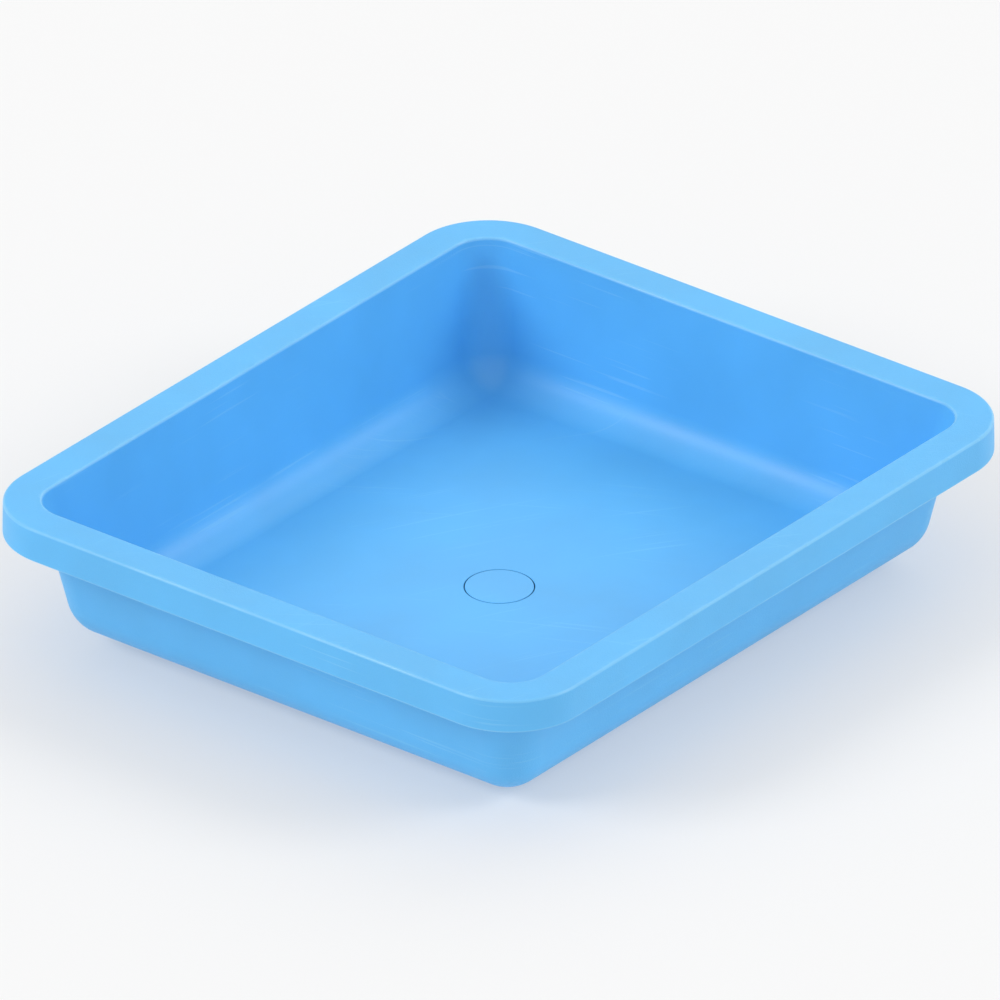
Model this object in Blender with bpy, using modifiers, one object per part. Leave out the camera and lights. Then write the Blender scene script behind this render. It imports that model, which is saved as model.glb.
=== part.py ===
"""Mud pan: a shallow moulded mixing pan with a turned-down rim and a push-in drain plug.

Metres, +Z up. X is the pan's width and Y its length. The origin is on the ground,
under the centre of the pan. Three pieces: pan_body, drain_plug and plug_seal.
"""

import math

import bmesh
import bpy

# Pan, measured on the faces that hold and shed the mud.
PAN_WIDTH = 0.5000          # over the lower edge of the skirt, along X
PAN_LENGTH = 0.5763         # the same, along Y
PAN_DEPTH = 0.1039          # inner floor to rim top
WALL = 0.0025               # thickness of the moulding
WALL_DRAFT = math.radians(10.0)
CAVITY_RADIUS = 0.0288      # floor fillet, and the corners between the walls
RIM_WIDTH = 0.0282          # flat rim, between its two sharp edges
RIM_CORNER_RADIUS = 0.0581
RIM_EDGE_RADIUS = 0.0020
SKIRT_HEIGHT = 0.0254       # rim top to the skirt's lower edge
SKIRT_DRAFT = math.radians(0.8)
LIP_RADIUS = 0.0006         # on the skirt's lower edge

# Underside.
GROUND_TO_FLOOR = 0.0120    # inner floor above the ground
FOOT_INSET = 0.0140         # foot ring's outer face, inside the flat of the floor
FOOT_THICKNESS = 0.0036
FOOT_DRAFT = 0.0003         # each face of the foot ring closes in by this much
FOOT_CORNER_RADIUS = 0.0220
NOTCH_WIDTH = 0.0400        # run-off notches in the middle of each side of the ring
NOTCH_HEIGHT = 0.0030
EMBED = 0.0010              # how far a joined feature runs into the floor's thickness

# Drain socket and plug. Depths are below the inner floor.
PLUG_RADIUS = 0.0246
SEAT_GAP = 0.0008           # round the plug's flange
SPIGOT_GAP = 0.0004         # round the plug's spigot
REST_GAP = 0.0003           # between the flange and its ledge
FLANGE_THICKNESS = 0.0040
SPIGOT_RADIUS = 0.0196
SPIGOT_DEPTH = 0.0106
HOLLOW_RADIUS = 0.0150
PLUG_WEB = 0.0030           # plug material over its hollow
PLUG_EDGE = 0.0004
SOCKET_WALL = 0.0028
SOCKET_DEPTH = 0.0110
SOCKET_LEAD_IN = 0.0006
GRIP_THICKNESS = 0.0030
GRIP_SHORT_OF_END = 0.0010

# Seal ring in the spigot's groove.
SEAL_SECTION_RADIUS = 0.0011
SEAL_GAP = 0.0003
SEAL_DEPTH = 0.0072         # centre of the ring

# Gusset ribs round the socket.
RIB_COUNT = 8
RIB_THICKNESS = 0.0022
RIB_REACH = 0.0450          # outer end, from the plug's axis
RIB_ROOT = 0.0215           # inner end, inside the socket wall
RIB_DROP = 0.0050           # height at the socket, below the floor's underside
RIB_TIP_DROP = 0.0006

# Fineness.
CORNER_STEPS = 9
FILLET_STEPS = 7
EDGE_STEPS = 3
ROUND_STEPS = 48
SEAL_STEPS = 10
MERGE = 0.00001

# The flat of the floor, from which every section's outset is measured.
RIM_TOP_HALF_X = PAN_WIDTH / 2 - SKIRT_HEIGHT * math.tan(SKIRT_DRAFT)
RIM_TOP_HALF_Y = PAN_LENGTH / 2 - SKIRT_HEIGHT * math.tan(SKIRT_DRAFT)
OPENING_OUT = PAN_DEPTH * math.tan(WALL_DRAFT) + CAVITY_RADIUS * math.tan(math.pi / 4 - WALL_DRAFT / 2)
RIM_OUT = OPENING_OUT + RIM_WIDTH
FLOOR_HALF_X = RIM_TOP_HALF_X - RIM_OUT
FLOOR_HALF_Y = RIM_TOP_HALF_Y - RIM_OUT


def clear_scene():
    for item in list(bpy.data.objects):
        bpy.data.objects.remove(item, do_unlink=True)


def new_collection(name):
    collection = bpy.data.collections.new(name)
    bpy.context.scene.collection.children.link(collection)
    return collection


def plain_material(name, color, roughness):
    material = bpy.data.materials.new(name)
    material.use_nodes = True
    shader = material.node_tree.nodes["Principled BSDF"]
    shader.inputs["Base Color"].default_value = (*color, 1.0)
    shader.inputs["Roughness"].default_value = roughness
    shader.inputs["Metallic"].default_value = 0.0
    return material


def add_object(name, mesh, collection, material=None):
    item = bpy.data.objects.new(name, mesh)
    collection.objects.link(item)
    if material:
        mesh.materials.append(material)
    return item


def object_from_bmesh(name, bm, collection, material=None):
    bmesh.ops.recalc_face_normals(bm, faces=bm.faces)
    mesh = bpy.data.meshes.new(name)
    bm.to_mesh(mesh)
    bm.free()
    return add_object(name, mesh, collection, material)


def shade_round(mesh, angle=math.radians(28.0)):
    mesh.shade_smooth()
    mesh.set_sharp_from_angle(angle=angle)


# ---- sections: a point is (outset from the flat of the floor, height, corner radius) ----

def rounded_ring(bm, out, z, corner):
    """Vertices of a rounded rectangle, counter-clockwise from above."""
    half_x = FLOOR_HALF_X + out - corner
    half_y = FLOOR_HALF_Y + out - corner
    ring = []
    for quarter, (side_x, side_y) in enumerate(((1, 1), (-1, 1), (-1, -1), (1, -1))):
        for step in range(CORNER_STEPS + 1):
            turn = (quarter + step / CORNER_STEPS) * math.pi / 2
            x = side_x * half_x + corner * math.cos(turn)
            y = side_y * half_y + corner * math.sin(turn)
            ring.append(bm.verts.new((x, y, z)))
    return ring


def loft(bm, sections, closed):
    """Skin the sections in order. An open loft is capped at both ends."""
    rings = [rounded_ring(bm, *section) for section in sections]
    pairs = list(zip(rings, rings[1:]))
    if closed:
        pairs.append((rings[-1], rings[0]))
    for lower, upper in pairs:
        count = len(lower)
        for i in range(count):
            following = (i + 1) % count
            bm.faces.new((lower[i], lower[following], upper[following], upper[i]))
    if not closed:
        bm.faces.new(rings[0])
        bm.faces.new(rings[-1])
    bmesh.ops.remove_doubles(bm, verts=bm.verts, dist=MERGE)


def arc(center_out, center_z, radius, start, end, steps):
    """Outset and height of points on a round stretch of the section."""
    points = []
    for step in range(steps + 1):
        turn = start + (end - start) * step / steps
        points.append((center_out + radius * math.cos(turn), center_z + radius * math.sin(turn)))
    return points


def floor_fillet(radius):
    """From the flat of the floor up to the wall. The corners are parts of a sphere."""
    down = -math.pi / 2
    wall = -WALL_DRAFT
    center_z = GROUND_TO_FLOOR + CAVITY_RADIUS
    points = arc(0.0, center_z, radius, down, wall, FILLET_STEPS)
    return [(out, z, out) for out, z in points]


def pan_sections():
    """The whole wall of the pan: up its inner face, over the rim and back down outside."""
    top = GROUND_TO_FLOOR + PAN_DEPTH
    wall_corner = CAVITY_RADIUS * math.cos(WALL_DRAFT)
    outer_wall_corner = (CAVITY_RADIUS + WALL) * math.cos(WALL_DRAFT)

    inner = floor_fillet(CAVITY_RADIUS)

    inner_back = RIM_EDGE_RADIUS * math.tan(math.pi / 4 - WALL_DRAFT / 2)
    edge_z = top - RIM_EDGE_RADIUS
    inner_edge = arc(OPENING_OUT + inner_back, edge_z, RIM_EDGE_RADIUS,
                     math.pi - WALL_DRAFT, math.pi / 2, EDGE_STEPS)
    inner_edge = [(out, z, wall_corner + out - inner_edge[0][0]) for out, z in inner_edge]

    outer_back = RIM_EDGE_RADIUS * math.tan(math.pi / 4 - SKIRT_DRAFT / 2)
    outer_edge = arc(RIM_OUT - outer_back, edge_z, RIM_EDGE_RADIUS,
                     math.pi / 2, SKIRT_DRAFT, EDGE_STEPS)
    outer_edge = [(out, z, RIM_CORNER_RADIUS + out - RIM_OUT) for out, z in outer_edge]

    skirt_z = top - SKIRT_HEIGHT
    skirt_out = RIM_OUT + SKIRT_HEIGHT * math.tan(SKIRT_DRAFT)
    lip_z = skirt_z + LIP_RADIUS
    lip = arc(skirt_out - LIP_RADIUS, lip_z, LIP_RADIUS, 0.0, -math.pi / 2, EDGE_STEPS)
    lip += arc(skirt_out - WALL + LIP_RADIUS, lip_z, LIP_RADIUS, -math.pi / 2, -math.pi, EDGE_STEPS)
    under_z = top - WALL
    channel_out = RIM_OUT - WALL
    lip = [(out, z, RIM_CORNER_RADIUS + out - RIM_OUT) for out, z in lip]
    channel_top = [(channel_out, under_z, RIM_CORNER_RADIUS - WALL)]

    outer_wall_out = OPENING_OUT - WALL * math.tan(WALL_DRAFT) + WALL / math.cos(WALL_DRAFT)
    channel_root = [(outer_wall_out, under_z, outer_wall_corner)]
    outer = floor_fillet(CAVITY_RADIUS + WALL)
    return inner + inner_edge + outer_edge + lip + channel_top + channel_root + outer[::-1]


def foot_ring_sections():
    """A closed band under the floor, a little thinner at the ground."""
    root_z = GROUND_TO_FLOOR - WALL + EMBED
    outer = -FOOT_INSET
    inner = outer - FOOT_THICKNESS
    outer_corner = FOOT_CORNER_RADIUS
    inner_corner = FOOT_CORNER_RADIUS - FOOT_THICKNESS
    return [
        (outer, root_z, outer_corner),
        (outer - FOOT_DRAFT, 0.0, outer_corner - FOOT_DRAFT),
        (inner + FOOT_DRAFT, 0.0, inner_corner + FOOT_DRAFT),
        (inner, root_z, inner_corner),
    ]


# ---- turned shapes: a profile of (radius, height), down its outer side ----

def turned(name, profile, collection, material=None):
    bm = bmesh.new()
    points = [bm.verts.new((radius, 0.0, z)) for radius, z in profile]
    for upper, lower in zip(points, points[1:]):
        bm.edges.new((upper, lower))
    mesh = bpy.data.meshes.new(name)
    bm.to_mesh(mesh)
    bm.free()
    item = add_object(name, mesh, collection, material)
    screw = item.modifiers.new("turn", "SCREW")
    screw.axis = "Z"
    screw.steps = ROUND_STEPS
    screw.render_steps = ROUND_STEPS
    screw.use_merge_vertices = True
    screw.merge_threshold = MERGE
    return item


def boolean(target, other, operation):
    modifier = target.modifiers.new(other.name, "BOOLEAN")
    modifier.operation = operation
    modifier.solver = "EXACT"
    modifier.object = other


def as_helper(item):
    item.hide_render = True
    item.display_type = "WIRE"
    return item


def drain_depth(depth):
    return GROUND_TO_FLOOR - depth


def socket_outside(helpers):
    """The stepped collar that hangs under the floor round the drain."""
    ledge = FLANGE_THICKNESS + REST_GAP
    wide = PLUG_RADIUS + SEAT_GAP + SOCKET_WALL
    narrow = SPIGOT_RADIUS + SPIGOT_GAP + SOCKET_WALL
    step_depth = ledge + SOCKET_WALL
    profile = [
        (0.0, drain_depth(WALL - EMBED)),
        (wide, drain_depth(WALL - EMBED)),
        (wide, drain_depth(step_depth)),
        (narrow, drain_depth(step_depth)),
        (narrow, drain_depth(SOCKET_DEPTH)),
        (0.0, drain_depth(SOCKET_DEPTH)),
    ]
    return as_helper(turned("socket_outside", profile, helpers))


def socket_bore(helpers):
    """What the drain removes: the flange's seat, the ledge, a lead-in and the bore."""
    seat = PLUG_RADIUS + SEAT_GAP
    bore = SPIGOT_RADIUS + SPIGOT_GAP
    ledge = FLANGE_THICKNESS + REST_GAP
    past_face = 0.002
    profile = [
        (0.0, drain_depth(-past_face)),
        (seat, drain_depth(-past_face)),
        (seat, drain_depth(ledge)),
        (bore + SOCKET_LEAD_IN, drain_depth(ledge)),
        (bore, drain_depth(ledge + SOCKET_LEAD_IN)),
        (bore, drain_depth(SOCKET_DEPTH + past_face)),
        (0.0, drain_depth(SOCKET_DEPTH + past_face)),
    ]
    return as_helper(turned("socket_bore", profile, helpers))


def socket_ribs(helpers):
    """Gussets between the collar and the floor, each a plate with a sloping lower edge."""
    root_top = drain_depth(WALL - EMBED)
    underside = drain_depth(WALL)
    bm = bmesh.new()
    for index in range(RIB_COUNT):
        rib = bmesh.ops.create_cube(bm, size=1.0)["verts"]
        turn = (index + 0.5) * 2 * math.pi / RIB_COUNT
        for vert in rib:
            outer = vert.co.x > 0
            drop = RIB_TIP_DROP if outer else RIB_DROP
            along = RIB_REACH if outer else RIB_ROOT
            across = math.copysign(RIB_THICKNESS / 2, vert.co.y)
            vert.co.z = root_top if vert.co.z > 0 else underside - drop
            vert.co.x = along * math.cos(turn) - across * math.sin(turn)
            vert.co.y = along * math.sin(turn) + across * math.cos(turn)
    return as_helper(object_from_bmesh("socket_ribs", bm, helpers))


def foot_ring(helpers):
    bm = bmesh.new()
    loft(bm, foot_ring_sections(), closed=True)
    return as_helper(object_from_bmesh("foot_ring", bm, helpers))


def foot_notches(helpers):
    """One low opening in the middle of each side of the foot ring."""
    half_x = FLOOR_HALF_X - FOOT_INSET - FOOT_THICKNESS / 2
    half_y = FLOOR_HALF_Y - FOOT_INSET - FOOT_THICKNESS / 2
    past_ring = 3 * FOOT_THICKNESS
    places = [
        (half_x, 0.0, past_ring, NOTCH_WIDTH),
        (-half_x, 0.0, past_ring, NOTCH_WIDTH),
        (0.0, half_y, NOTCH_WIDTH, past_ring),
        (0.0, -half_y, NOTCH_WIDTH, past_ring),
    ]
    bm = bmesh.new()
    for x, y, size_x, size_y in places:
        box = bmesh.ops.create_cube(bm, size=1.0)["verts"]
        bmesh.ops.scale(bm, vec=(size_x, size_y, 2 * NOTCH_HEIGHT), verts=box)
        bmesh.ops.translate(bm, vec=(x, y, 0.0), verts=box)
    return as_helper(object_from_bmesh("foot_notches", bm, helpers))


def make_pan_body(parts, helpers, material):
    """The one moulding: pan, rim, skirt, foot ring, drain socket and its ribs."""
    bm = bmesh.new()
    loft(bm, pan_sections(), closed=False)
    pan = object_from_bmesh("pan_body", bm, parts, material)
    boolean(pan, foot_ring(helpers), "UNION")
    boolean(pan, socket_outside(helpers), "UNION")
    boolean(pan, socket_ribs(helpers), "UNION")
    boolean(pan, socket_bore(helpers), "DIFFERENCE")
    boolean(pan, foot_notches(helpers), "DIFFERENCE")
    shade_round(pan.data)
    return pan


def make_drain_plug(parts, helpers, material):
    """Flush flange, hollow spigot with a seal groove, and a grip bar across the hollow.

    Its own frame has the origin on the drain's axis, level with the inner floor.
    """
    groove_floor = SPIGOT_RADIUS + SPIGOT_GAP - 2 * SEAL_GAP - 2 * SEAL_SECTION_RADIUS
    groove_half = SEAL_SECTION_RADIUS + SEAL_GAP
    profile = [
        (0.0, 0.0),
        (PLUG_RADIUS - PLUG_EDGE, 0.0),
        (PLUG_RADIUS, -PLUG_EDGE),
        (PLUG_RADIUS, PLUG_EDGE - FLANGE_THICKNESS),
        (PLUG_RADIUS - PLUG_EDGE, -FLANGE_THICKNESS),
        (SPIGOT_RADIUS, -FLANGE_THICKNESS),
        (SPIGOT_RADIUS, groove_half - SEAL_DEPTH),
        (groove_floor, groove_half - SEAL_DEPTH),
        (groove_floor, -groove_half - SEAL_DEPTH),
        (SPIGOT_RADIUS, -groove_half - SEAL_DEPTH),
        (SPIGOT_RADIUS, 2 * PLUG_EDGE - SPIGOT_DEPTH),
        (SPIGOT_RADIUS - 2 * PLUG_EDGE, -SPIGOT_DEPTH),
        (HOLLOW_RADIUS, -SPIGOT_DEPTH),
        (HOLLOW_RADIUS, -PLUG_WEB),
        (0.0, -PLUG_WEB),
    ]
    plug = turned("drain_plug", profile, parts, material)
    plug.location.z = GROUND_TO_FLOOR

    length = HOLLOW_RADIUS + groove_floor
    height = SPIGOT_DEPTH - GRIP_SHORT_OF_END - PLUG_WEB + EMBED
    bm = bmesh.new()
    bmesh.ops.create_cube(bm, size=1.0)
    bmesh.ops.scale(bm, vec=(length, GRIP_THICKNESS, height), verts=bm.verts)
    bmesh.ops.translate(bm, vec=(0.0, 0.0, EMBED - PLUG_WEB - height / 2), verts=bm.verts)
    grip = as_helper(object_from_bmesh("plug_grip_bar", bm, helpers))
    grip.parent = plug
    boolean(plug, grip, "UNION")
    return plug


def make_plug_seal(parts, material, plug):
    """Rubber ring that sits in the spigot's groove and lifts off with the plug."""
    bpy.ops.mesh.primitive_torus_add(
        major_radius=SPIGOT_RADIUS + SPIGOT_GAP - SEAL_GAP - SEAL_SECTION_RADIUS,
        minor_radius=SEAL_SECTION_RADIUS,
        major_segments=ROUND_STEPS,
        minor_segments=SEAL_STEPS,
    )
    seal = bpy.context.object
    seal.name = "plug_seal"
    for collection in list(seal.users_collection):
        collection.objects.unlink(seal)
    parts.objects.link(seal)
    seal.data.materials.append(material)
    seal.data.shade_smooth()
    seal.parent = plug
    seal.location.z = -SEAL_DEPTH
    return seal


def main():
    clear_scene()
    parts = new_collection("mud_pan")
    helpers = new_collection("cutters_and_joins")
    blue = (0.127, 0.503, 0.973)
    pan_plastic = plain_material("pan_plastic", blue, 0.42)
    plug_plastic = plain_material("plug_plastic", blue, 0.38)
    seal_rubber = plain_material("seal_rubber", (0.02, 0.02, 0.022), 0.6)
    make_pan_body(parts, helpers, pan_plastic)
    plug = make_drain_plug(parts, helpers, plug_plastic)
    make_plug_seal(parts, seal_rubber, plug)


main()
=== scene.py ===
"""Looks of the mud pan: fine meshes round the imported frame, plastic and rubber, a plain studio."""

import math

import bmesh
import bpy
from mathutils import Matrix, Vector


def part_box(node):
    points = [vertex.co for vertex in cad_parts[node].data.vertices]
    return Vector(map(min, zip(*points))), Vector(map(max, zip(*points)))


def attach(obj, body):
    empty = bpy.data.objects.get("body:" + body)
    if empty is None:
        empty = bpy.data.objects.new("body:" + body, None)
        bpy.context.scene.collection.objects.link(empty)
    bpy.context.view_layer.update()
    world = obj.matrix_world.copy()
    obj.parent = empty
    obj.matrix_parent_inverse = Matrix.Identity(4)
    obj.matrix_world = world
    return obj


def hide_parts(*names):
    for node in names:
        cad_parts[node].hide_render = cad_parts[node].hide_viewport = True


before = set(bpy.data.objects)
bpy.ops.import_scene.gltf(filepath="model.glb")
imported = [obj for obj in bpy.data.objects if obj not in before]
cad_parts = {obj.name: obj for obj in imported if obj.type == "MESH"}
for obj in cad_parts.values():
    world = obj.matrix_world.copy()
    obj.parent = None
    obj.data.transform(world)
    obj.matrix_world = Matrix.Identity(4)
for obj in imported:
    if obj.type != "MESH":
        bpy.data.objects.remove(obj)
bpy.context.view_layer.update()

# ---- places taken from the frame (metres, +Z up) ----
pan_low, pan_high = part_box("pan_body")
plug_low, plug_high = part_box("drain_plug")
seal_low, seal_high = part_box("plug_seal")
GROUND_Z = pan_low.z
TOP_Z = pan_high.z
FLOOR_Z = plug_high.z
PLUG_RADIUS = plug_high.x
SPIGOT_END_Z = plug_low.z
SEAL_SECTION = (seal_high.z - seal_low.z) / 2
SEAL_Z = (seal_high.z + seal_low.z) / 2
SEAL_RADIUS = seal_high.x - SEAL_SECTION

# ---- section of the moulding ----
WALL = 0.0025
DRAFT = math.radians(10.0)
CAVITY_RADIUS = 0.0288
RIM_WIDTH = 0.0282
RIM_CORNER = 0.0581
RIM_EDGE = 0.0020
SKIRT_HEIGHT = 0.0254
SKIRT_DRAFT = math.radians(0.8)
LIP_ROUND = 0.0007
CHANNEL_ROUND = 0.0014

# ---- underside ----
FOOT_INSET = 0.0140
FOOT_THICKNESS = 0.0036
FOOT_FLARE = 0.0016
FOOT_ROUND = 0.0007
FOOT_CORNER = 0.0220
NOTCH_WIDTH = 0.0400
NOTCH_HEIGHT = 0.0030
NOTCH_ROUND = 0.0020
EMBED = 0.0010
FLARE_BITE = 0.00003

# ---- drain socket, plug and seal ----
SEAT_GAP = 0.0008
SPIGOT_GAP = 0.0004
REST_GAP = 0.0003
FLANGE = 0.0040
FLANGE_ROUND = 0.0004
SEAT_ROUND = 0.0004
SPIGOT_RADIUS = 0.0196
SOCKET_WALL = 0.0028
SOCKET_DEPTH = 0.0110
SOCKET_ROUND = 0.0006
SOCKET_FLARE = 0.0015
HOLLOW_RADIUS = 0.0150
PLUG_WEB = 0.0030
PLUG_ROUND = 0.0003         # on the plug's hidden edges
SPIGOT_LEAD_IN = 0.0008
GRIP_THICKNESS = 0.0030
GRIP_SHORT_OF_END = 0.0010
GRIP_ROUND = 0.0010
GROOVE_GAP = 0.0003
SEAL_FLASH = 0.00012
SEAL_FLASH_SPREAD = 0.12    # radians of the section
RIB_COUNT = 8
RIB_THICKNESS = 0.0022
RIB_REACH = 0.0450
RIB_ROOT = 0.0215
RIB_DROP = 0.0050
RIB_TIP_DROP = 0.0006
RIB_ROUND = 0.0005
CUT_PAST = 0.0020           # how far a cutter sticks out of what it cuts

# ---- fineness ----
CORNER_STEPS = 28
SIDE_STEPS = 10
WALL_SHARES = (0.25, 0.5, 0.75)
FILLET_STEPS = 18
EDGE_STEPS = 8
SMALL_STEPS = 5
RIB_ROUND_STEPS = 3
ROUND_STEPS = 144
SEAL_STEPS = 40
MERGE = 0.000002
SHARP_ANGLE = math.radians(32.0)
FLAT_FACE_WEIGHT = 60

# ---- colours ----
PAN_BLUE = (0.113, 0.490, 0.905)
# partly worn plastic and partly painted highlight on the rim's edges; also the colour of the scratches
WORN_AND_HIGHLIGHT_BLUE = (0.300, 0.670, 0.960)
# painted shade: the dark grey put into the seam round the plug
GAP_SHADE_GREY = (0.030, 0.036, 0.042)
RUBBER_BLACK = (0.017, 0.017, 0.018)

# ---- finish of the plastic ----
# Depths are in metres and noise scales in cells a metre. A pair called RANGE is the two levels
# between which a noise or a slope takes effect.
PAN_ROUGHNESS = 0.47
PLUG_ROUGHNESS = 0.43
TONE_SCALE = 11.0           # the slow unevenness of a moulding
TONE_RANGE = (0.35, 0.65)
TONE_DARKEST = 0.95
TONE_LIGHTEST = 1.03
GLOSS_RANGE = (0.3, 0.7)
TONE_ROUGHNESS = 0.03
RIPPLE_SCALE = 24.0
RIPPLE_DEPTH = 0.00016
GRAIN_SCALE = 1100.0
GRAIN_DEPTH_OUTSIDE = 0.00020
GRAIN_DEPTH_INSIDE = 0.00005
GRAIN_WORN_AT = 0.8         # the wear at which no more grain is lost
GRAIN_LEFT_WORN = 0.2
INSIDE_FACING_RANGE = (0.03, 0.10)
INSIDE_POLISH = 0.04
TROWEL_SWINGS = (           # centre, a mark's length in radians, how sparse the marks are
    ((0.9, -0.5, 0.0), 0.16, 0.66),
    ((0.55, -1.0, 0.0), 0.14, 0.67),
)
STREAK_LEANS = (0.04, -0.11)
STREAK_STRETCH = 9.0
STREAK_SPARSENESS = 0.68
MARK_SOFTNESS = 0.05
MARK_SPACING = 0.0026
MARK_DEPTH = 0.000006
MARK_COVER = 0.27
MARK_DULLNESS = 0.16
MARK_PATCH_SCALE = 10.0
MARK_PATCH_RANGE = (0.46, 0.60)
STEEP_TO_LEVEL_RANGE = (0.6, 0.9)
# The WEAR_ band along the rim's rounds is partly wear and partly painted highlight.
WEAR_TILT_RANGE = (0.999, 0.93)
WEAR_BAND = 0.0024
WEAR_BAND_SOLID = 0.3       # share of the band's width
WEAR_ON_FLATS = 0.4
WEAR_FRAY_SCALE = 150.0
WEAR_FRAY_RANGE = (0.35, 0.65)
WEAR_FRAY = 0.4 * WEAR_BAND
WEAR_STRETCH_SCALE = 14.0
WEAR_STRETCH_RANGE = (0.38, 0.62)
WEAR_LEAST = 0.6
WEAR_AND_HIGHLIGHT_COVER = 0.50
WEAR_POLISH = 0.20
# how strongly the painted shade darkens the plug's seam
GAP_SHADE_COVER = 0.85
TRANSLUCENCY = 0.08
TRANSLUCENT_DEPTH = 0.0015
TRANSLUCENT_TINT = (0.5, 0.8, 1.0)

# ---- finish of the rubber ----
RUBBER_ROUGHNESS = 0.48
BLOOM_ROUGHNESS = 0.68
BLOOM_SCALE = 260.0
BLOOM_RANGE = (0.42, 0.68)
BLOOM_BRIGHTNESS = 2.2
RUBBER_GRAIN_SCALE = 3200.0
RUBBER_GRAIN_DEPTH = 0.00001

# ---- studio and camera ----
FLOOR_SIZE = 80.0
FLOOR_PAINT = 0.58
FLOOR_GLOW = 0.31
HORIZON = 0.66
ZENITH = 0.77
SOFTBOXES = (               # name, direction it lies in, width in degrees, strength
    ("key_softbox", (-0.45, -0.70, 0.55), 24.0, 1.00),
    ("side_softbox", (0.68, 0.45, 0.52), 24.0, 0.80),
    ("back_softbox", (-0.25, 0.80, 0.55), 50.0, 0.35),
)
SOFTBOX_DISTANCE = 4.0
VIEW_AZIMUTH = math.radians(38.341)
VIEW_ELEVATION = math.radians(28.568)
LENS = 1500.0
SENSOR = 36.0
FRAME_WIDTH = 0.70888
AIM_RIGHT = 0.00045
AIM_UP = 0.06118
CLIP_START = 1.0

RIM_OUT_DROP = SKIRT_HEIGHT * math.tan(SKIRT_DRAFT)
DEPTH = TOP_Z - FLOOR_Z
OPENING_OUT = DEPTH * math.tan(DRAFT) + CAVITY_RADIUS * math.tan(math.pi / 4 - DRAFT / 2)
RIM_OUT = OPENING_OUT + RIM_WIDTH
FLAT_X = pan_high.x - RIM_OUT_DROP - RIM_OUT
FLAT_Y = pan_high.y - RIM_OUT_DROP - RIM_OUT
UNDER_Z = FLOOR_Z - WALL

UP = Vector((0.0, 0.0, 1.0))
DOWN = -UP
QUARTERS = ((1, 1), (-1, 1), (-1, -1), (1, -1))


# ---- rows of the moulding's skin ----
# A row is a function of a corner (its two signs) and a share of the way round it, from the
# X wall at 0 to the Y wall at 1. It returns a point.

def wall_direction(side_x, side_y, share):
    """From a corner's axis straight out to its surface."""
    to_x_wall = Vector((side_x * math.cos(DRAFT), 0.0, -math.sin(DRAFT)))
    to_y_wall = Vector((0.0, side_y * math.cos(DRAFT), -math.sin(DRAFT)))
    return to_x_wall.slerp(to_y_wall, share)


def corner_axis(side_x, side_y):
    lean = math.tan(DRAFT)
    return Vector((side_x * lean, side_y * lean, 1.0))


def ball_center(side_x, side_y):
    """Centre of the sphere that rounds the floor's corner."""
    return Vector((side_x * FLAT_X, side_y * FLAT_Y, FLOOR_Z + CAVITY_RADIUS))


def raised_to(point, z, side_x, side_y):
    return point + (z - point.z) * corner_axis(side_x, side_y)


def fillet_row(radius, rise):
    """On the floor fillet: rise 0 is the floor, 1 is the wall. The corners are on a sphere."""
    def point(side_x, side_y, share):
        direction = DOWN.slerp(wall_direction(side_x, side_y, share), rise)
        return ball_center(side_x, side_y) + radius * direction
    return point


def wall_share_row(radius, share_up, top_row):
    """Between the top of the floor fillet and another row."""
    def point(side_x, side_y, share):
        low = fillet_row(radius, 1.0)(side_x, side_y, share)
        high = top_row(side_x, side_y, share)
        return low.lerp(high, share_up)
    return point


def rolled_row(wall_radius, ball_radius, flat_z, turn):
    """On the round between the wall and a flat above it: turn 0 is the flat, 1 is the wall."""
    def point(side_x, side_y, share):
        outward = wall_direction(side_x, side_y, share)
        center = ball_center(side_x, side_y) + (wall_radius + ball_radius) * outward
        center = raised_to(center, flat_z - ball_radius, side_x, side_y)
        return center + ball_radius * UP.slerp(-outward, turn)
    return point


def level_row(out, z, corner):
    """A level rounded rectangle, out from the flat of the floor by the same everywhere."""
    def point(side_x, side_y, share):
        turn = share * math.pi / 2
        x = FLAT_X + out - corner + corner * math.cos(turn)
        y = FLAT_Y + out - corner + corner * math.sin(turn)
        return Vector((side_x * x, side_y * y, z))
    return point


def shares(steps):
    return [step / steps for step in range(steps + 1)]


def ring_points(row):
    """The row's points all the way round, counter-clockwise from above."""
    corners = []
    for side_x, side_y in QUARTERS:
        way_round = shares(CORNER_STEPS)
        if side_x * side_y < 0:
            way_round.reverse()
        corners.append([row(side_x, side_y, share) for share in way_round])
    points = []
    for corner, following in zip(corners, corners[1:] + corners[:1]):
        points += corner
        start, end = corner[-1], following[0]
        points += [start.lerp(end, step / SIDE_STEPS) for step in range(1, SIDE_STEPS)]
    return points


def skin(rows, closed):
    """A mesh through the rows. An open one is capped at both ends."""
    bm = bmesh.new()
    rings = [[bm.verts.new(point) for point in ring_points(row)] for row in rows]
    pairs = list(zip(rings, rings[1:]))
    if closed:
        pairs.append((rings[-1], rings[0]))
    for lower, upper in pairs:
        for i in range(len(lower)):
            following = (i + 1) % len(lower)
            bm.faces.new((lower[i], lower[following], upper[following], upper[i]))
    if not closed:
        bm.faces.new(rings[0])
        bm.faces.new(rings[-1])
    bmesh.ops.remove_doubles(bm, verts=bm.verts, dist=MERGE)
    bmesh.ops.recalc_face_normals(bm, faces=bm.faces)
    return bm


def level_arc(center_out, center_z, radius, start, end, steps, corner_at):
    """Level rows round an arc of the section. corner_at gives the corner radius at an outset."""
    rows = []
    for share in shares(steps):
        turn = start + (end - start) * share
        out = center_out + radius * math.cos(turn)
        rows.append(level_row(out, center_z + radius * math.sin(turn), corner_at(out)))
    return rows


def rim_corner(out):
    return RIM_CORNER + out - RIM_OUT


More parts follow.
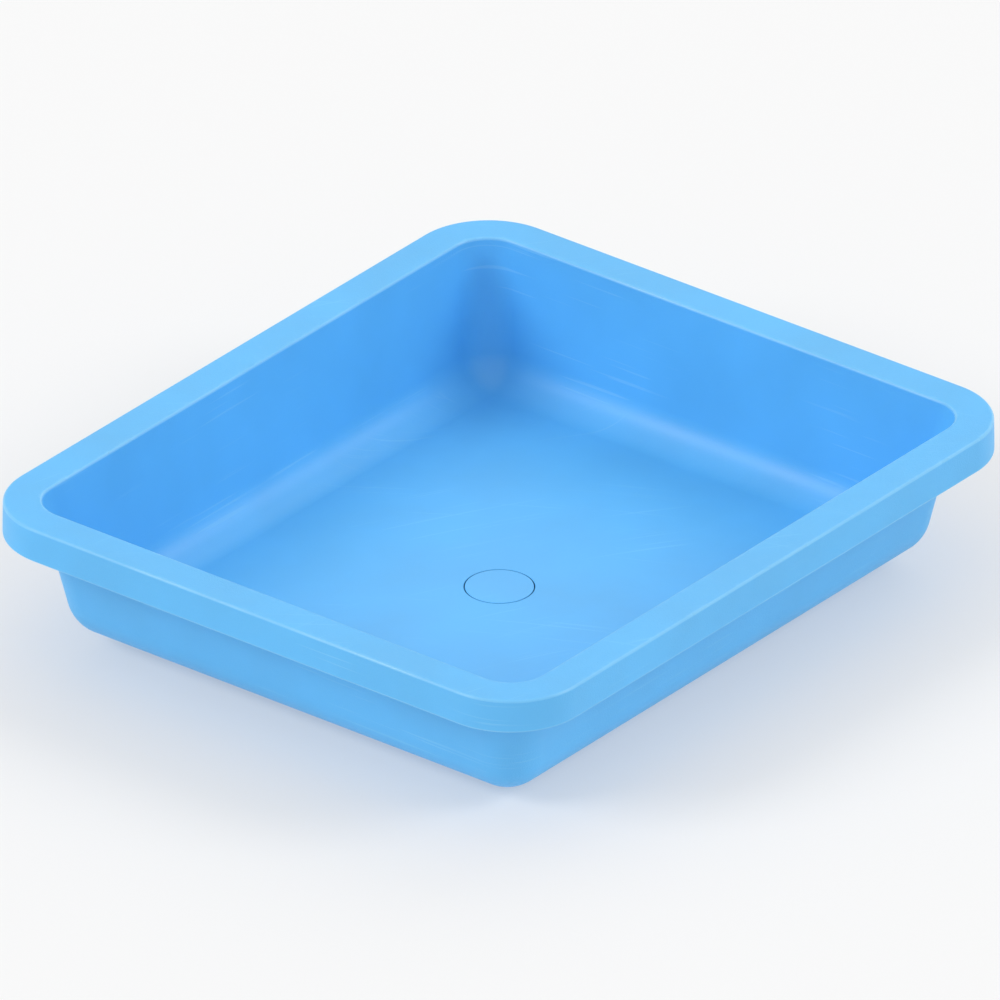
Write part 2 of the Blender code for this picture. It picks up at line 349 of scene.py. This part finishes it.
def moulding_rows():
    """Up the inner face, over the rim, round the lip and back down the outer face."""
    rows = [fillet_row(CAVITY_RADIUS, share) for share in shares(FILLET_STEPS)]
    rim_start = rolled_row(CAVITY_RADIUS, RIM_EDGE, TOP_Z, 1.0)
    rows += [wall_share_row(CAVITY_RADIUS, share, rim_start) for share in WALL_SHARES]
    rows += [rolled_row(CAVITY_RADIUS, RIM_EDGE, TOP_Z, 1.0 - share) for share in shares(EDGE_STEPS)]

    back = RIM_EDGE * math.tan(math.pi / 4 - SKIRT_DRAFT / 2)
    rows += level_arc(RIM_OUT - back, TOP_Z - RIM_EDGE, RIM_EDGE,
                      math.pi / 2, SKIRT_DRAFT, EDGE_STEPS, rim_corner)

    lip_z = TOP_Z - SKIRT_HEIGHT + LIP_ROUND
    lip_out = RIM_OUT + RIM_OUT_DROP
    rows += level_arc(lip_out - LIP_ROUND, lip_z, LIP_ROUND,
                      0.0, -math.pi / 2, SMALL_STEPS, rim_corner)
    rows += level_arc(lip_out - WALL + LIP_ROUND, lip_z, LIP_ROUND,
                      -math.pi / 2, -math.pi, SMALL_STEPS, rim_corner)

    channel_z = TOP_Z - WALL
    rows += level_arc(RIM_OUT - WALL - CHANNEL_ROUND, channel_z - CHANNEL_ROUND, CHANNEL_ROUND,
                      0.0, math.pi / 2, SMALL_STEPS, rim_corner)
    outer_radius = CAVITY_RADIUS + WALL
    rows += [rolled_row(outer_radius, CHANNEL_ROUND, channel_z, share) for share in shares(SMALL_STEPS)]
    wall_top = rolled_row(outer_radius, CHANNEL_ROUND, channel_z, 1.0)
    rows += [wall_share_row(outer_radius, share, wall_top) for share in reversed(WALL_SHARES)]
    rows += [fillet_row(outer_radius, 1.0 - share) for share in shares(FILLET_STEPS)]
    return rows


def foot_rows():
    """A closed band under the floor, flared into it at the top and rounded at the ground."""
    outer = -FOOT_INSET
    inner = outer - FOOT_THICKNESS

    def outer_corner(out):
        return FOOT_CORNER + out - outer

    flare_z = UNDER_Z - FOOT_FLARE + FLARE_BITE
    rows = [level_row(outer + FOOT_FLARE, UNDER_Z + EMBED, outer_corner(outer + FOOT_FLARE))]
    rows += level_arc(outer + FOOT_FLARE, flare_z, FOOT_FLARE,
                      math.pi / 2, math.pi, EDGE_STEPS, outer_corner)
    rows += level_arc(outer - FOOT_ROUND, GROUND_Z + FOOT_ROUND, FOOT_ROUND,
                      0.0, -math.pi / 2, SMALL_STEPS, outer_corner)
    rows += level_arc(inner + FOOT_ROUND, GROUND_Z + FOOT_ROUND, FOOT_ROUND,
                      -math.pi / 2, -math.pi, SMALL_STEPS, outer_corner)
    rows += level_arc(inner - FOOT_FLARE, flare_z, FOOT_FLARE,
                      0.0, math.pi / 2, EDGE_STEPS, outer_corner)
    rows.append(level_row(inner - FOOT_FLARE, UNDER_Z + EMBED, outer_corner(inner - FOOT_FLARE)))
    return rows


# ---- turned shapes: a profile of (radius, depth below the floor), down its outer side ----

def round_corner(center_radius, center_depth, radius, start, end, steps=SMALL_STEPS):
    """Profile points on an arc. Angles in degrees: 0 points outward and 90 points up."""
    points = []
    for share in shares(steps):
        turn = math.radians(start + (end - start) * share)
        points.append((center_radius + radius * math.cos(turn), center_depth - radius * math.sin(turn)))
    return points


def new_object(name, bm):
    mesh = bpy.data.meshes.new(name)
    bm.to_mesh(mesh)
    bm.free()
    item = bpy.data.objects.new(name, mesh)
    bpy.context.scene.collection.objects.link(item)
    return item


def turned(name, profile):
    """A solid of revolution about the drain's axis, with its mesh already made."""
    bm = bmesh.new()
    points = [bm.verts.new((radius, 0.0, FLOOR_Z - depth)) for radius, depth in profile]
    edges = [bm.edges.new(pair) for pair in zip(points, points[1:])]
    bmesh.ops.spin(bm, geom=points + edges, cent=(0, 0, 0), axis=UP, angle=2 * math.pi,
                   steps=ROUND_STEPS, use_merge=True)
    bmesh.ops.remove_doubles(bm, verts=bm.verts, dist=MERGE)
    bmesh.ops.recalc_face_normals(bm, faces=bm.faces)
    return new_object(name, bm)


def socket_outside():
    ledge = FLANGE + REST_GAP
    wide = PLUG_RADIUS + SEAT_GAP + SOCKET_WALL
    narrow = SPIGOT_RADIUS + SPIGOT_GAP + SOCKET_WALL
    step_depth = ledge + SOCKET_WALL
    flare_depth = WALL + SOCKET_FLARE - FLARE_BITE
    profile = [(0.0, WALL - EMBED), (wide + SOCKET_FLARE, WALL - EMBED)]
    profile += round_corner(wide + SOCKET_FLARE, flare_depth, SOCKET_FLARE, 90, 180, EDGE_STEPS)
    profile += round_corner(wide - SOCKET_ROUND, step_depth - SOCKET_ROUND, SOCKET_ROUND, 0, -90)
    profile += round_corner(narrow + SOCKET_ROUND, step_depth + SOCKET_ROUND, SOCKET_ROUND, 90, 180)
    profile += round_corner(narrow - SOCKET_ROUND, SOCKET_DEPTH - SOCKET_ROUND, SOCKET_ROUND, 0, -90)
    profile.append((0.0, SOCKET_DEPTH))
    return turned("socket_outside", profile)


def socket_bore():
    seat = PLUG_RADIUS + SEAT_GAP
    bore = SPIGOT_RADIUS + SPIGOT_GAP
    ledge = FLANGE + REST_GAP
    past_end = SOCKET_DEPTH + CUT_PAST
    profile = [(0.0, -CUT_PAST), (seat + SEAT_ROUND, -CUT_PAST)]
    profile += round_corner(seat + SEAT_ROUND, SEAT_ROUND, SEAT_ROUND, 90, 180)
    profile.append((seat, ledge))
    profile += round_corner(bore + SOCKET_ROUND, ledge + SOCKET_ROUND, SOCKET_ROUND, 90, 180)
    profile += round_corner(bore + SOCKET_ROUND, SOCKET_DEPTH - SOCKET_ROUND, SOCKET_ROUND, 180, 270)
    profile += [(bore + SOCKET_ROUND, past_end), (0.0, past_end)]
    return turned("socket_bore", profile)


def socket_ribs():
    """Gussets between the collar and the floor, with rounded lower edges."""
    bm = bmesh.new()
    for index in range(RIB_COUNT):
        rib = bmesh.ops.create_cube(bm, size=1.0)["verts"]
        turn = (index + 0.5) * 2 * math.pi / RIB_COUNT
        for vert in rib:
            outer = vert.co.x > 0
            drop = RIB_TIP_DROP if outer else RIB_DROP
            along = RIB_REACH if outer else RIB_ROOT
            across = math.copysign(RIB_THICKNESS / 2, vert.co.y)
            vert.co.z = UNDER_Z + EMBED if vert.co.z > 0 else UNDER_Z - drop
            vert.co.x = along * math.cos(turn) - across * math.sin(turn)
            vert.co.y = along * math.sin(turn) + across * math.cos(turn)
    below = [edge for edge in bm.edges if max(vert.co.z for vert in edge.verts) < UNDER_Z]
    bmesh.ops.bevel(bm, geom=below, offset=RIB_ROUND, segments=RIB_ROUND_STEPS, profile=0.5,
                    affect="EDGES", clamp_overlap=True)
    return new_object("socket_ribs", bm)


def foot_notches():
    """Cutters for the low run-off openings in the middle of each side of the foot ring."""
    half_x = FLAT_X - FOOT_INSET - FOOT_THICKNESS / 2
    half_y = FLAT_Y - FOOT_INSET - FOOT_THICKNESS / 2
    past_ring = 3 * FOOT_THICKNESS
    bm = bmesh.new()
    for turn, distance in enumerate((half_x, half_y, half_x, half_y)):
        box = bmesh.ops.create_cube(bm, size=1.0)["verts"]
        bmesh.ops.scale(bm, vec=(past_ring, NOTCH_WIDTH, 2 * NOTCH_HEIGHT), verts=box)
        along = {edge for vert in box for edge in vert.link_edges
                 if abs(edge.verts[0].co.x - edge.verts[1].co.x) > past_ring / 2}
        made = bmesh.ops.bevel(bm, geom=list(along), offset=NOTCH_ROUND, segments=SMALL_STEPS,
                               profile=0.5, affect="EDGES", clamp_overlap=True)
        solid = {vert for face in made["faces"] for edge in face.edges for vert in edge.verts}
        solid |= {vert for vert in box if vert.is_valid}
        place = Matrix.Rotation(turn * math.pi / 2, 4, "Z") @ Matrix.Translation((distance, 0, GROUND_Z))
        bmesh.ops.transform(bm, matrix=place, verts=list(solid))
    return new_object("foot_notches", bm)


def merge_close_points(mesh):
    """Closes the hairline edges that a cut leaves where it only just meets a flat."""
    bm = bmesh.new()
    bm.from_mesh(mesh)
    bmesh.ops.remove_doubles(bm, verts=bm.verts, dist=MERGE)
    bmesh.ops.dissolve_degenerate(bm, edges=bm.edges, dist=MERGE)
    bm.to_mesh(mesh)
    bm.free()


def combined(name, start, steps):
    """Applies unions and cuts to start, and returns the finished object."""
    for tool, operation in steps:
        modifier = start.modifiers.new(tool.name, "BOOLEAN")
        modifier.operation = operation
        modifier.solver = "EXACT"
        modifier.object = tool
    bpy.context.view_layer.update()
    evaluated = start.evaluated_get(bpy.context.evaluated_depsgraph_get())
    mesh = bpy.data.meshes.new_from_object(evaluated)
    mesh.name = name
    merge_close_points(mesh)
    start.modifiers.clear()
    start.data = mesh
    start.name = name
    for tool, _ in steps:
        bpy.data.objects.remove(tool, do_unlink=True)
    return start


def finish_surface(item, material):
    """Smooth rounds beside true flats."""
    item.data.materials.clear()
    item.data.materials.append(material)
    item.data.shade_smooth()
    item.data.set_sharp_from_angle(angle=SHARP_ANGLE)
    normals = item.modifiers.new("flat_faces_stay_flat", "WEIGHTED_NORMAL")
    normals.keep_sharp = True
    normals.weight = FLAT_FACE_WEIGHT


def make_pan(material):
    pan = new_object("pan_skin", skin(moulding_rows(), closed=False))
    foot = new_object("foot_ring", skin(foot_rows(), closed=True))
    foot = combined("foot_ring", foot, [(foot_notches(), "DIFFERENCE")])
    pan = combined("pan_moulding", pan, [
        (foot, "UNION"),
        (socket_outside(), "UNION"),
        (socket_ribs(), "UNION"),
        (socket_bore(), "DIFFERENCE"),
    ])
    finish_surface(pan, material)
    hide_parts("pan_body")
    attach(pan, "pan")
    return pan


def plug_profile(groove_floor):
    """Down the plug's outer side: flange, spigot with the seal's groove, end and hollow."""
    lip = PLUG_ROUND / 2
    groove_top = FLOOR_Z - SEAL_Z - SEAL_SECTION - GROOVE_GAP
    groove_end = FLOOR_Z - SEAL_Z + SEAL_SECTION + GROOVE_GAP
    end = FLOOR_Z - SPIGOT_END_Z
    profile = [(0.0, 0.0)]
    profile += round_corner(PLUG_RADIUS - FLANGE_ROUND, FLANGE_ROUND, FLANGE_ROUND, 90, 0)
    profile += round_corner(PLUG_RADIUS - FLANGE_ROUND, FLANGE - FLANGE_ROUND, FLANGE_ROUND, 0, -90)
    profile += round_corner(SPIGOT_RADIUS + PLUG_ROUND, FLANGE + PLUG_ROUND, PLUG_ROUND, 90, 180)
    profile += round_corner(SPIGOT_RADIUS - lip, groove_top - lip, lip, 0, -90)
    profile += round_corner(groove_floor + PLUG_ROUND, groove_top + PLUG_ROUND, PLUG_ROUND, 90, 180)
    profile += round_corner(groove_floor + PLUG_ROUND, groove_end - PLUG_ROUND, PLUG_ROUND, 180, 270)
    profile += round_corner(SPIGOT_RADIUS - lip, groove_end + lip, lip, 90, 0)
    profile += round_corner(SPIGOT_RADIUS - SPIGOT_LEAD_IN, end - SPIGOT_LEAD_IN, SPIGOT_LEAD_IN, 0, -90)
    profile += round_corner(HOLLOW_RADIUS + PLUG_ROUND, end - PLUG_ROUND, PLUG_ROUND, -90, -180)
    root = 2 * PLUG_ROUND
    profile += round_corner(HOLLOW_RADIUS - root, PLUG_WEB + root, root, 0, 90)
    profile.append((0.0, PLUG_WEB))
    return profile


def grip_bar(length):
    """The plate across the plug's hollow, rounded where fingers hold it."""
    height = FLOOR_Z - SPIGOT_END_Z - GRIP_SHORT_OF_END - PLUG_WEB + EMBED
    bm = bmesh.new()
    bmesh.ops.create_cube(bm, size=1.0)
    bmesh.ops.scale(bm, vec=(length, GRIP_THICKNESS, height), verts=bm.verts)
    bmesh.ops.translate(bm, vec=(0, 0, FLOOR_Z + EMBED - PLUG_WEB - height / 2), verts=bm.verts)
    lower = min(vert.co.z for vert in bm.verts) + MERGE
    below = [edge for edge in bm.edges if max(vert.co.z for vert in edge.verts) < lower]
    bmesh.ops.bevel(bm, geom=below, offset=GRIP_ROUND, segments=SMALL_STEPS, profile=0.5,
                    affect="EDGES", clamp_overlap=True)
    return new_object("grip_bar", bm)


def make_plug(material):
    groove_floor = SEAL_RADIUS - SEAL_SECTION - GROOVE_GAP
    plug = turned("plug_turning", plug_profile(groove_floor))
    grip = grip_bar(HOLLOW_RADIUS + groove_floor)
    plug = combined("plug_moulding", plug, [(grip, "UNION")])
    finish_surface(plug, material)
    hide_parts("drain_plug")
    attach(plug, "plug")
    return plug


def make_seal(material):
    """A rubber ring with the fine parting ridge that its mould leaves inside and outside."""
    bm = bmesh.new()
    section = []
    for step in range(SEAL_STEPS):
        turn = step * 2 * math.pi / SEAL_STEPS
        ridge = SEAL_FLASH * math.exp(-((math.sin(turn) / SEAL_FLASH_SPREAD) ** 2))
        radius = SEAL_SECTION - SEAL_FLASH + ridge
        section.append(bm.verts.new((SEAL_RADIUS + radius * math.cos(turn), 0.0,
                                     SEAL_Z + radius * math.sin(turn))))
    edges = [bm.edges.new((section[i - 1], section[i])) for i in range(SEAL_STEPS)]
    bmesh.ops.spin(bm, geom=section + edges, cent=(0, 0, 0), axis=UP, angle=2 * math.pi,
                   steps=ROUND_STEPS, use_merge=True)
    bmesh.ops.remove_doubles(bm, verts=bm.verts, dist=MERGE)
    bmesh.ops.recalc_face_normals(bm, faces=bm.faces)
    seal = new_object("seal_ring", bm)
    finish_surface(seal, material)
    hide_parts("plug_seal")
    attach(seal, "plug")
    return seal


# ---- materials ----

class Nodes:
    """Adds shader nodes to a material or a world, and joins them."""

    def __init__(self, owner):
        owner.use_nodes = True
        self.tree = owner.node_tree

    def put(self, socket, value):
        if isinstance(value, bpy.types.NodeSocket):
            self.tree.links.new(value, socket)
        else:
            socket.default_value = value

    def add(self, kind, inputs=None, **settings):
        node = self.tree.nodes.new(kind)
        for key, value in settings.items():
            setattr(node, key, value)
        for key, value in (inputs or {}).items():
            self.put(node.inputs[key], value)
        return node

    def noise(self, where, scale, detail=2.0):
        node = self.add("ShaderNodeTexNoise", {"Vector": where, "Scale": scale, "Detail": detail})
        return node.outputs["Fac"]

    def span(self, value, low, high, to_low=0.0, to_high=1.0):
        """Maps low..high of value to to_low..to_high, held at the ends."""
        return self.add("ShaderNodeMapRange", {"Value": value, "From Min": low, "From Max": high,
                                               "To Min": to_low, "To Max": to_high}).outputs["Result"]

    def maths(self, operation, *values):
        return self.add("ShaderNodeMath", dict(enumerate(values)), operation=operation).outputs["Value"]

    def product(self, first, *others):
        for other in others:
            first = self.maths("MULTIPLY", first, other)
        return first

    def distance(self, x, y):
        """Length of a level vector."""
        return self.maths("SQRT", self.maths("ADD", self.product(x, x), self.product(y, y)))

    def between(self, share, a, b):
        """From value a at share 0 to value b at 1."""
        return self.add("ShaderNodeMix", {"Factor": share, "A": a, "B": b}).outputs["Result"]

    def mix(self, share, a, b):
        """The same for colours, whose sockets share their names with others and go by number."""
        node = self.add("ShaderNodeMix", data_type="RGBA")
        for socket, value in ((node.inputs[0], share), (node.inputs[6], a), (node.inputs[7], b)):
            self.put(socket, value)
        return node.outputs[2]

    def bump(self, height):
        """The normal of a surface with this relief, in metres."""
        node = self.add("ShaderNodeBump", {"Height": height, "Distance": 1.0, "Strength": 1.0})
        return node.outputs["Normal"]

    def parts(self, vector):
        node = self.add("ShaderNodeSeparateXYZ", {"Vector": vector})
        return node.outputs["X"], node.outputs["Y"], node.outputs["Z"]


def rgba(color, share=1.0):
    return (color[0] * share, color[1] * share, color[2] * share, 1.0)


def grey(value):
    return (value, value, value, 1.0)


def trowel_marks(n, where, center, length, sparseness):
    """Thin arcs about a far centre, as a trowel swung from there leaves them."""
    arm = n.add("ShaderNodeVectorMath", {0: where, 1: center}, operation="SUBTRACT").outputs["Vector"]
    x, y, _ = n.parts(arm)
    reach = n.add("ShaderNodeVectorMath", {0: arm}, operation="LENGTH").outputs["Value"]
    across = n.product(reach, 1.0 / MARK_SPACING)
    along = n.product(n.maths("ARCTAN2", y, x), 1.0 / length)
    track = n.add("ShaderNodeCombineXYZ", {"X": across, "Y": along}).outputs["Vector"]
    return n.span(n.noise(track, 1.0, 1.0), sparseness, sparseness + MARK_SOFTNESS)


def rubbed_streaks(n, where, lean):
    """Thin, nearly level streaks along the walls, where pans rub when they are stacked."""
    streak_space = n.add("ShaderNodeMapping", {
        "Vector": where,
        "Rotation": (lean, lean, 0.0),
        "Scale": (STREAK_STRETCH, STREAK_STRETCH, 1.0 / MARK_SPACING),
    }).outputs["Vector"]
    streaks = n.noise(streak_space, 1.0, 1.0)
    return n.span(streaks, STREAK_SPARSENESS, STREAK_SPARSENESS + MARK_SOFTNESS)


def scratches(n, where, level):
    """Trowel marks on what is level and rubbed streaks on what is steep, both in patches."""
    arcs = n.maths("MAXIMUM", *[trowel_marks(n, where, *swing) for swing in TROWEL_SWINGS])
    streaks = n.maths("MAXIMUM", *[rubbed_streaks(n, where, lean) for lean in STREAK_LEANS])
    marks = n.between(n.span(level, *STEEP_TO_LEVEL_RANGE), streaks, arcs)
    return n.product(marks, n.span(n.noise(where, MARK_PATCH_SCALE), *MARK_PATCH_RANGE))


def off_outline(n, x, y, out, corner):
    """Level distance from a rounded rectangle that lies out from the flat of the floor."""
    beyond_x = n.maths("SUBTRACT", n.maths("ABSOLUTE", x), FLAT_X + out - corner)
    beyond_y = n.maths("SUBTRACT", n.maths("ABSOLUTE", y), FLAT_Y + out - corner)
    reach = n.distance(n.maths("MAXIMUM", beyond_x, 0.0), n.maths("MAXIMUM", beyond_y, 0.0))
    side = n.maths("MINIMUM", n.maths("MAXIMUM", beyond_x, beyond_y), 0.0)
    return n.maths("SUBTRACT", n.maths("ADD", reach, side), corner)


def rim_wear_and_highlight(n, where, z, level, off_outer, off_inner):
    """Burnished along the rounded edges of the rim and the lip, fading out over the flats; its lighter
    colour is partly wear and partly a painted highlight that marks the edges.
    """
    tilted = n.span(level, *WEAR_TILT_RANGE)
    edge = n.product(tilted, n.span(z, TOP_Z - RIM_EDGE, TOP_Z - 0.85 * RIM_EDGE))
    nearest = n.maths("MINIMUM", n.maths("ABSOLUTE", off_outer), n.maths("ABSOLUTE", off_inner))
    fray = n.span(n.noise(where, WEAR_FRAY_SCALE, 4.0), *WEAR_FRAY_RANGE, WEAR_FRAY, -WEAR_FRAY)
    solid_band = WEAR_BAND_SOLID * WEAR_BAND
    fade = n.span(n.maths("ADD", nearest, fray), WEAR_BAND, solid_band, 0.0, WEAR_ON_FLATS)
    fade = n.product(fade, n.maths("GREATER_THAN", z, TOP_Z - 0.2 * RIM_EDGE))
    lip_top = TOP_Z - SKIRT_HEIGHT + 2.0 * LIP_ROUND
    lip = n.product(n.span(z, lip_top, lip_top - LIP_ROUND),
                    n.maths("GREATER_THAN", off_outer, -2.0 * WALL))
    stretches = n.span(n.noise(where, WEAR_STRETCH_SCALE), *WEAR_STRETCH_RANGE, WEAR_LEAST, 1.0)
    return n.product(n.maths("MAXIMUM", n.maths("MAXIMUM", edge, fade), lip), stretches)


def painted_gap_shade(n, x, y, z):
    """Painted shade: 1 down in the gap round the plug, where the seam lies in shade."""
    radius = n.distance(x, y)
    low = n.span(z, FLOOR_Z - FLANGE_ROUND, FLOOR_Z - 3 * FLANGE_ROUND)
    above_ledge = n.maths("GREATER_THAN", z, FLOOR_Z - FLANGE)
    off_plug = n.span(radius, PLUG_RADIUS - 2 * FLANGE_ROUND, PLUG_RADIUS - FLANGE_ROUND)
    in_seat = n.maths("LESS_THAN", radius, PLUG_RADIUS + SEAT_GAP + SEAT_ROUND)
    return n.product(low, above_ledge, off_plug, in_seat)


def plastic(name, roughness):
    """Satin moulded plastic: smooth inside, grained outside, burnished edges lightened partly by wear
    and partly as a painted highlight, scratches, painted shade in the seam round the plug.
    """
    material = bpy.data.materials.new(name)
    n = Nodes(material)
    shader = n.tree.nodes["Principled BSDF"]
    where = n.add("ShaderNodeTexCoord").outputs["Object"]
    x, y, z = n.parts(where)
    facing_up = n.parts(n.add("ShaderNodeNewGeometry").outputs["Normal"])[2]
    level = n.maths("ABSOLUTE", facing_up)
    off_outer = off_outline(n, x, y, RIM_OUT, RIM_CORNER)
    off_inner = off_outline(n, x, y, OPENING_OUT, CAVITY_RADIUS)
    inside = n.product(n.span(facing_up, *INSIDE_FACING_RANGE), n.span(off_inner, 0.0, -RIM_EDGE))
    tone = n.noise(where, TONE_SCALE, 3.0)
    edge_wear_and_highlight = rim_wear_and_highlight(n, where, z, level, off_outer, off_inner)
    marks = n.product(scratches(n, where, level), n.maths("SUBTRACT", 1.0, edge_wear_and_highlight))

    darkest, lightest = rgba(PAN_BLUE, TONE_DARKEST), rgba(PAN_BLUE, TONE_LIGHTEST)
    color = n.mix(n.span(tone, *TONE_RANGE), darkest, lightest)
    # painted highlight, partly wear: the rim's edges lightened
    color = n.mix(n.product(edge_wear_and_highlight, WEAR_AND_HIGHLIGHT_COVER), color, rgba(WORN_AND_HIGHLIGHT_BLUE))
    color = n.mix(n.product(marks, MARK_COVER), color, rgba(WORN_AND_HIGHLIGHT_BLUE))
    # painted shade: the seam round the plug darkened
    color = n.mix(n.product(painted_gap_shade(n, x, y, z), GAP_SHADE_COVER), color, rgba(GAP_SHADE_GREY))
    n.put(shader.inputs["Base Color"], color)

    rough = n.span(tone, *GLOSS_RANGE, roughness - TONE_ROUGHNESS, roughness + TONE_ROUGHNESS)
    rough = n.maths("ADD", rough, n.product(marks, MARK_DULLNESS))
    rough = n.maths("SUBTRACT", rough, n.product(inside, INSIDE_POLISH))
    n.put(shader.inputs["Roughness"], n.maths("SUBTRACT", rough, n.product(edge_wear_and_highlight, WEAR_POLISH)))

    grain_depth = n.span(inside, 0.0, 1.0, GRAIN_DEPTH_OUTSIDE, GRAIN_DEPTH_INSIDE)
    grain_left = n.span(edge_wear_and_highlight, 0.0, GRAIN_WORN_AT, 1.0, GRAIN_LEFT_WORN)
    grain = n.product(n.noise(where, GRAIN_SCALE), grain_depth, grain_left)
    ripple = n.product(n.noise(where, RIPPLE_SCALE, 1.0), RIPPLE_DEPTH)
    height = n.maths("SUBTRACT", n.maths("ADD", grain, ripple), n.product(marks, MARK_DEPTH))
    n.put(shader.inputs["Normal"], n.bump(height))

    n.put(shader.inputs["Subsurface Weight"], TRANSLUCENCY)
    n.put(shader.inputs["Subsurface Radius"], TRANSLUCENT_TINT)
    n.put(shader.inputs["Subsurface Scale"], TRANSLUCENT_DEPTH)
    return material


def rubber(name):
    """Dull black rubber with a dry bloom and a fine moulded grain."""
    material = bpy.data.materials.new(name)
    n = Nodes(material)
    shader = n.tree.nodes["Principled BSDF"]
    where = n.add("ShaderNodeTexCoord").outputs["Object"]
    bloom = n.span(n.noise(where, BLOOM_SCALE, 3.0), *BLOOM_RANGE)
    color = n.mix(bloom, rgba(RUBBER_BLACK), rgba(RUBBER_BLACK, BLOOM_BRIGHTNESS))
    n.put(shader.inputs["Base Color"], color)
    n.put(shader.inputs["Roughness"], n.span(bloom, 0.0, 1.0, RUBBER_ROUGHNESS, BLOOM_ROUGHNESS))
    grain = n.product(n.noise(where, RUBBER_GRAIN_SCALE, 3.0), RUBBER_GRAIN_DEPTH)
    n.put(shader.inputs["Normal"], n.bump(grain))
    return material


# ---- studio ----

def open_floor_brightness():
    """Of the floor clear of the pan: its glow, and what it returns of the dome and softboxes."""
    dome = HORIZON / 3 + 2 * ZENITH / 3
    direct = sum(strength * Vector(toward).normalized().z for _, toward, _, strength in SOFTBOXES)
    return FLOOR_GLOW + FLOOR_PAINT * (dome + direct / math.pi)


def make_floor():
    """A pale sweep lit a little from beneath, so that shadows on it stay soft."""
    bpy.ops.mesh.primitive_plane_add(size=FLOOR_SIZE, location=(0, 0, GROUND_Z))
    floor = bpy.context.object
    floor.name = "studio_floor"
    paint = bpy.data.materials.new("studio_floor_paint")
    n = Nodes(paint)
    n.tree.nodes.clear()
    matt = n.add("ShaderNodeBsdfDiffuse", {"Color": grey(FLOOR_PAINT)})
    glow = n.add("ShaderNodeEmission", {"Color": grey(FLOOR_GLOW), "Strength": 1.0})
    both = n.add("ShaderNodeAddShader", {0: matt.outputs["BSDF"], 1: glow.outputs["Emission"]})
    n.add("ShaderNodeOutputMaterial", {"Surface": both.outputs["Shader"]})
    floor.data.materials.append(paint)


def make_dome():
    """Pale light from all round, dimmer low down. The camera sees it as more of the floor."""
    world = bpy.data.worlds.new("studio_dome")
    bpy.context.scene.world = world
    n = Nodes(world)
    height = n.parts(n.add("ShaderNodeTexCoord").outputs["Generated"])[2]
    light = n.mix(n.span(height, 0.0, 1.0), grey(HORIZON), grey(ZENITH))
    seen = n.add("ShaderNodeLightPath").outputs["Is Camera Ray"]
    background = n.tree.nodes["Background"]
    n.put(background.inputs["Color"], n.mix(seen, light, grey(open_floor_brightness())))
    n.put(background.inputs["Strength"], 1.0)


def add_softbox(name, toward, degrees, strength):
    """A far, wide light in the direction toward, even over the whole floor."""
    light = bpy.data.lights.new(name, "SUN")
    light.angle = math.radians(degrees)
    light.energy = strength
    item = bpy.data.objects.new(name, light)
    item.location = SOFTBOX_DISTANCE * Vector(toward).normalized()
    item.rotation_euler = Vector(toward).to_track_quat("Z", "Y").to_euler()
    bpy.context.scene.collection.objects.link(item)


def make_camera():
    """A long lens far away, so that parallel edges stay parallel."""
    data = bpy.data.cameras.new("camera")
    data.lens = LENS
    data.sensor_width = SENSOR
    camera = bpy.data.objects.new("camera", data)
    bpy.context.scene.collection.objects.link(camera)
    back = Vector((
        math.sin(VIEW_AZIMUTH) * math.cos(VIEW_ELEVATION),
        -math.cos(VIEW_AZIMUTH) * math.cos(VIEW_ELEVATION),
        math.sin(VIEW_ELEVATION),
    ))
    right = Vector((math.cos(VIEW_AZIMUTH), math.sin(VIEW_AZIMUTH), 0.0))
    up = back.cross(right)
    distance = FRAME_WIDTH * LENS / SENSOR
    aim = Vector((0, 0, FLOOR_Z)) + AIM_RIGHT * right + AIM_UP * up
    camera.location = aim + distance * back
    camera.rotation_euler = back.to_track_quat("Z", "Y").to_euler()
    data.clip_start = CLIP_START
    data.clip_end = 2 * distance
    bpy.context.scene.camera = camera


def make_studio():
    make_floor()
    make_dome()
    for softbox in SOFTBOXES:
        add_softbox(*softbox)
    make_camera()
    bpy.context.scene.view_settings.view_transform = "Standard"


make_pan(plastic("pan_blue", PAN_ROUGHNESS))
make_plug(plastic("plug_blue", PLUG_ROUGHNESS))
make_seal(rubber("seal_black"))
make_studio()
